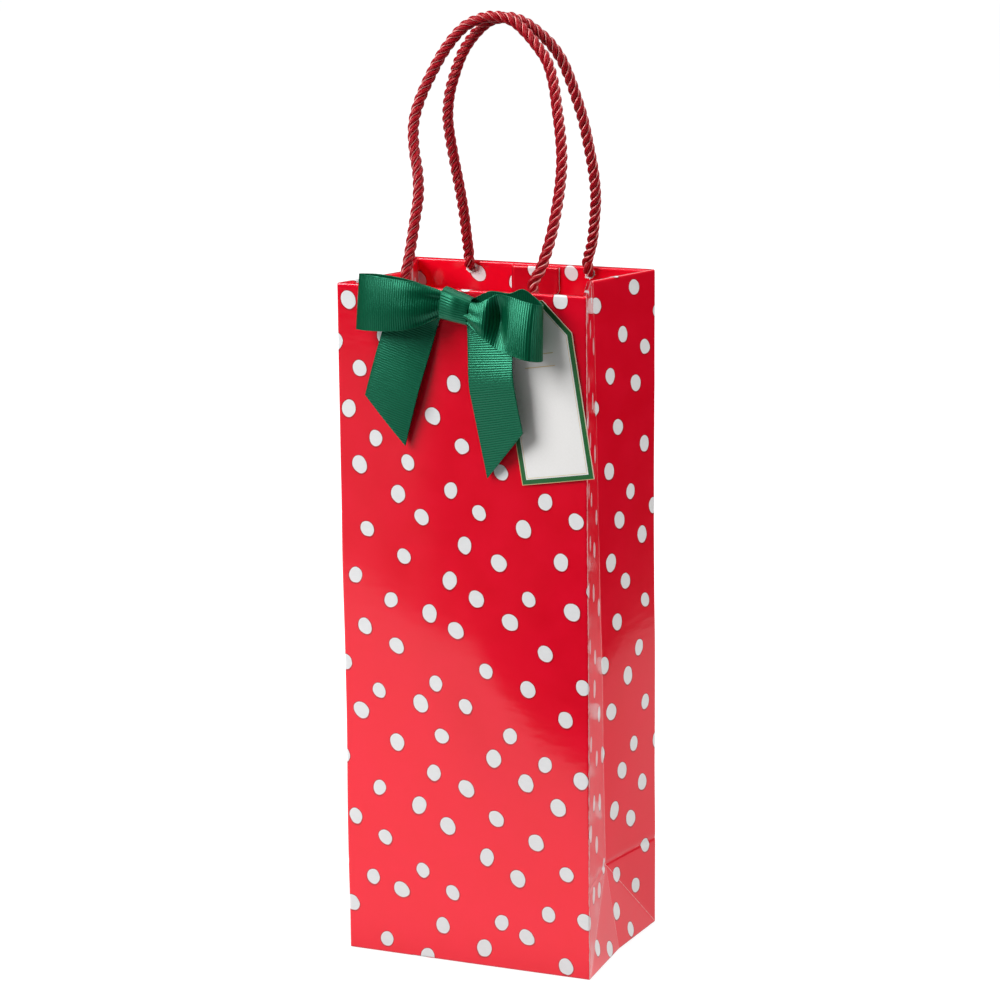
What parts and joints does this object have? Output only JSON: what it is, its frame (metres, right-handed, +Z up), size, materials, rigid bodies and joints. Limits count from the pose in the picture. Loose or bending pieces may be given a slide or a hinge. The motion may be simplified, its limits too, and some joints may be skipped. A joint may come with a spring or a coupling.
{
  "type": "wine gift bag",
  "caption": "Tall block-bottom paper gift bag for a wine bottle, with pushed-in side gussets, turned-in top, twisted rope handles, ribbon bow and hanging card tag.",
  "frame": {"origin": "middle of the base, on the surface the bag stands on", "axes": "+X to the right of the front, +Y from the front towards the rear, +Z up; the bow and the tag are on the front, -Y"},
  "size_m": [0.1307, 0.1031, 0.4553],
  "materials": {
    "printed_paper": "gloss-coated red print with a scatter of white dots; the inner side is plain matt white paper",
    "card_board": "uncoated white-grey card",
    "handle_rope": "satin three-strand twisted rope in dark red with a pink highlight yarn",
    "rope_tip": "moulded plastic",
    "bow_ribbon": "green grosgrain with fine cross ribs",
    "tag_card": "white card with a green border and thin gold lines",
    "glue": "soft clear adhesive"
  },
  "bodies": {
    "bag": {"front_panel": "printed_paper", "rear_panel": "printed_paper", "left_gusset_front": "printed_paper", "left_gusset_rear": "printed_paper", "left_gusset_foot": "printed_paper", "right_gusset_front": "printed_paper", "right_gusset_rear": "printed_paper", "right_gusset_foot": "printed_paper", "base_flap_front": "printed_paper", "base_flap_rear": "printed_paper", "base_flap_left": "printed_paper", "base_flap_right": "printed_paper", "side_seam_flap": "printed_paper", "rear_hem_patch": "printed_paper", "front_top_board": "card_board", "rear_top_board": "card_board", "base_board": "card_board", "front_handle_root_left": "handle_rope", "front_handle_root_right": "handle_rope", "rear_handle_root_left": "handle_rope", "rear_handle_root_right": "handle_rope", "front_handle_tip_left": "rope_tip", "front_handle_tip_right": "rope_tip", "rear_handle_tip_left": "rope_tip", "rear_handle_tip_right": "rope_tip", "bow_knot": "bow_ribbon", "bow_loop_left": "bow_ribbon", "bow_loop_right": "bow_ribbon", "bow_tail_root_left": "bow_ribbon", "bow_tail_root_right": "bow_ribbon", "bow_glue_pad": "glue", "tag_glue_dot": "glue"},
    "front_handle": {"front_handle": "handle_rope"},
    "rear_handle": {"rear_handle": "handle_rope"},
    "tail_left": {"bow_tail_left": "bow_ribbon"},
    "tail_right": {"bow_tail_right": "bow_ribbon"},
    "tag": {"tag_card": "tag_card"}
  },
  "joints": [
    {"name": "front_handle_swing", "type": "hinge", "parent": "bag", "child": "front_handle", "pos_m": [0, -0.0382, 0.334], "axis": [1, 0, 0], "range_deg": [0, 85]},
    {"name": "rear_handle_swing", "type": "hinge", "parent": "bag", "child": "rear_handle", "pos_m": [0, 0.0382, 0.334], "axis": [-1, 0, 0], "range_deg": [0, 110]},
    {"name": "tail_left_lift", "type": "hinge", "parent": "bag", "child": "tail_left", "pos_m": [-0.025, -0.047, 0.3083], "axis": [-1, 0, 0], "range_deg": [0, 80]},
    {"name": "tail_right_lift", "type": "hinge", "parent": "bag", "child": "tail_right", "pos_m": [0.0172, -0.047, 0.2993], "axis": [-1, 0, 0], "range_deg": [0, 80]},
    {"name": "tag_swing", "type": "hinge", "parent": "bag", "child": "tag", "pos_m": [0.037, -0.0455, 0.3196], "axis": [0, 1, 0], "range_deg": [-25, 40]}
  ]
}
